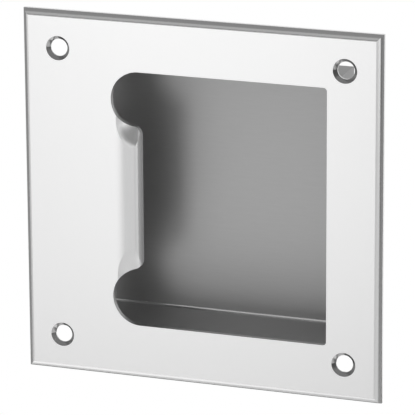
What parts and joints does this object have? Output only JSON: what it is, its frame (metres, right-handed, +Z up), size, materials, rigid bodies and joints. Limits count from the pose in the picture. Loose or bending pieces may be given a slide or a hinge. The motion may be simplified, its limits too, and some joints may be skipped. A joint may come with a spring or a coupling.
{
  "type": "flush pull",
  "caption": "Square satin steel flush door pull: pressed face plate with countersunk screw holes, boxed recess behind it and a finger lip between round lobes.",
  "frame": {"origin": "middle of the four screw holes, on the back of the face sheet", "axes": "+Z up, +Y into the door, so the face looks towards -Y, and the finger lip is on the -X side of the opening"},
  "size_m": [0.1016, 0.021, 0.1016],
  "materials": {
    "satin_steel": "satin",
    "mill_steel": "dull"
  },
  "bodies": {
    "root": {"face_plate": "satin_steel", "recess_box": "mill_steel"}
  },
  "joints": []
}
